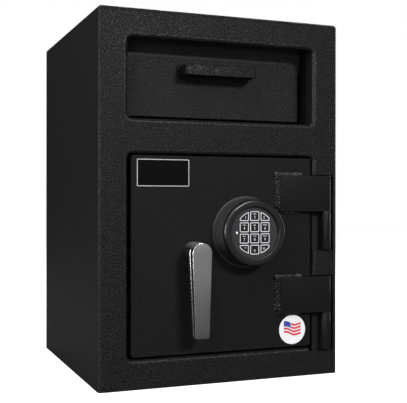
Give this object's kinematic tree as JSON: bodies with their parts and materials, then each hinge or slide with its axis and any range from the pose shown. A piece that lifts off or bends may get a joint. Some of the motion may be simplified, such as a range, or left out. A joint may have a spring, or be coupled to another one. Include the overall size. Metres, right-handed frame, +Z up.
{
  "type": "drop safe",
  "caption": "Floor-standing steel drop safe: tipping deposit drawer in a recess above a thick hinged door with strap hinges, round keypad and hanging lever handle.",
  "frame": {"origin": "middle of the case's underside, on the floor plate", "axes": "+Z up, -Y out of the front with the door and drawer, +X towards the door's hinge side"},
  "size_m": [0.357, 0.393, 0.508],
  "materials": {
    "case_paint": "fine textured black powder coat",
    "bare_steel": "machined",
    "plated_steel": "zinc plated",
    "chrome": "polished",
    "keypad_plastic": "satin moulded black plastic",
    "face_plastic": "dark grey face",
    "key_rubber": "matt with white printing",
    "mat_rubber": "silicone",
    "board": "solder mask",
    "lens": "clear white",
    "nameplate": "black plate with a pale border",
    "label": "printed white sticker",
    "bumper_rubber": "moulded",
    "bronze": "sintered",
    "cable": "smooth"
  },
  "bodies": {
    "cabinet": {"cabinet_shell": "case_paint", "floor_plate": "case_paint", "back_plate": "case_paint", "hopper_cheek_left": "case_paint", "hopper_cheek_right": "case_paint", "fish_guard": "case_paint", "hopper_sill": "case_paint", "bumper_left": "bumper_rubber", "bumper_right": "bumper_rubber", "hopper_pivot_rod": "bare_steel", "upper_hinge_seat": "case_paint", "lower_hinge_seat": "case_paint", "upper_hinge_pin": "bare_steel", "lower_hinge_pin": "bare_steel", "upper_hinge_washer": "bronze", "lower_hinge_washer": "bronze"},
    "hopper": {"hopper_panel": "case_paint", "hopper_bin": "case_paint", "hopper_pull": "case_paint"},
    "door": {"door_plate": "case_paint", "upper_hinge_strap": "case_paint", "lower_hinge_strap": "case_paint", "nameplate": "nameplate", "round_label": "label", "keypad_housing": "keypad_plastic", "keypad_bezel": "keypad_plastic", "keypad_face": "face_plastic", "keypad_mat": "mat_rubber", "keypad_board": "board", "keypad_battery": "plated_steel", "led_lens": "lens", "lock_cable": "cable", "lock_body": "plated_steel", "dead_bar": "bare_steel", "upper_bolt_guide": "bare_steel", "lower_bolt_guide": "bare_steel", "upper_guide_stud": "plated_steel", "lower_guide_stud": "plated_steel", "lever_bushing": "bronze", "bolt_work_cover": "case_paint"},
    "lever": {"lever_handle": "chrome", "lever_spindle": "bare_steel", "cam_disc": "plated_steel"},
    "carriage": {"bolt_carriage": "plated_steel", "upper_bolt": "chrome", "lower_bolt": "chrome"},
    "lock_bolt_body": {"lock_bolt": "bronze"},
    "key_1_body": {"key_1": "key_rubber"},
    "key_2_body": {"key_2": "key_rubber"},
    "key_3_body": {"key_3": "key_rubber"},
    "key_4_body": {"key_4": "key_rubber"},
    "key_5_body": {"key_5": "key_rubber"},
    "key_6_body": {"key_6": "key_rubber"},
    "key_7_body": {"key_7": "key_rubber"},
    "key_8_body": {"key_8": "key_rubber"},
    "key_9_body": {"key_9": "key_rubber"},
    "key_star_body": {"key_star": "key_rubber"},
    "key_0_body": {"key_0": "key_rubber"},
    "key_hash_body": {"key_hash": "key_rubber"}
  },
  "joints": [
    {"name": "door_swing", "type": "hinge", "parent": "cabinet", "child": "door", "pos_m": [0.16, -0.1775, 0.1774], "axis": [0, 0, 1], "range_deg": [0, 110]},
    {"name": "drawer_tip", "type": "hinge", "parent": "cabinet", "child": "hopper", "pos_m": [0, -0.1285, 0.377], "axis": [1, 0, 0], "range_deg": [0, 55]},
    {"name": "lever_turn", "type": "hinge", "parent": "door", "child": "lever", "pos_m": [-0.0465, -0.1765, 0.1814], "axis": [0, 1, 0], "range_deg": [0, 90]},
    {"name": "bolt_throw", "type": "slide", "parent": "door", "child": "carriage", "axis": [-1, 0, 0], "range_m": [0, 0.014]},
    {"name": "lock_bolt_throw", "type": "slide", "parent": "door", "child": "lock_bolt_body", "axis": [-1, 0, 0], "range_m": [0, 0.012]},
    {"name": "key_1_press", "type": "slide", "parent": "door", "child": "key_1_body", "axis": [0, 1, 0], "range_m": [0, 0.0012], "stiffness_N_per_m": 600},
    {"name": "key_2_press", "type": "slide", "parent": "door", "child": "key_2_body", "axis": [0, 1, 0], "range_m": [0, 0.0012], "stiffness_N_per_m": 600},
    {"name": "key_3_press", "type": "slide", "parent": "door", "child": "key_3_body", "axis": [0, 1, 0], "range_m": [0, 0.0012], "stiffness_N_per_m": 600},
    {"name": "key_4_press", "type": "slide", "parent": "door", "child": "key_4_body", "axis": [0, 1, 0], "range_m": [0, 0.0012], "stiffness_N_per_m": 600},
    {"name": "key_5_press", "type": "slide", "parent": "door", "child": "key_5_body", "axis": [0, 1, 0], "range_m": [0, 0.0012], "stiffness_N_per_m": 600},
    {"name": "key_6_press", "type": "slide", "parent": "door", "child": "key_6_body", "axis": [0, 1, 0], "range_m": [0, 0.0012], "stiffness_N_per_m": 600},
    {"name": "key_7_press", "type": "slide", "parent": "door", "child": "key_7_body", "axis": [0, 1, 0], "range_m": [0, 0.0012], "stiffness_N_per_m": 600},
    {"name": "key_8_press", "type": "slide", "parent": "door", "child": "key_8_body", "axis": [0, 1, 0], "range_m": [0, 0.0012], "stiffness_N_per_m": 600},
    {"name": "key_9_press", "type": "slide", "parent": "door", "child": "key_9_body", "axis": [0, 1, 0], "range_m": [0, 0.0012], "stiffness_N_per_m": 600},
    {"name": "key_star_press", "type": "slide", "parent": "door", "child": "key_star_body", "axis": [0, 1, 0], "range_m": [0, 0.0012], "stiffness_N_per_m": 600},
    {"name": "key_0_press", "type": "slide", "parent": "door", "child": "key_0_body", "axis": [0, 1, 0], "range_m": [0, 0.0012], "stiffness_N_per_m": 600},
    {"name": "key_hash_press", "type": "slide", "parent": "door", "child": "key_hash_body", "axis": [0, 1, 0], "range_m": [0, 0.0012], "stiffness_N_per_m": 600}
  ],
  "couplings": [
    {"joint": "bolt_throw", "follows": "lever_turn", "m_per_rad": 0.0089127},
    {"joint": "lock_bolt_throw", "follows": "lever_turn", "m_per_rad": 0.0076394}
  ]
}
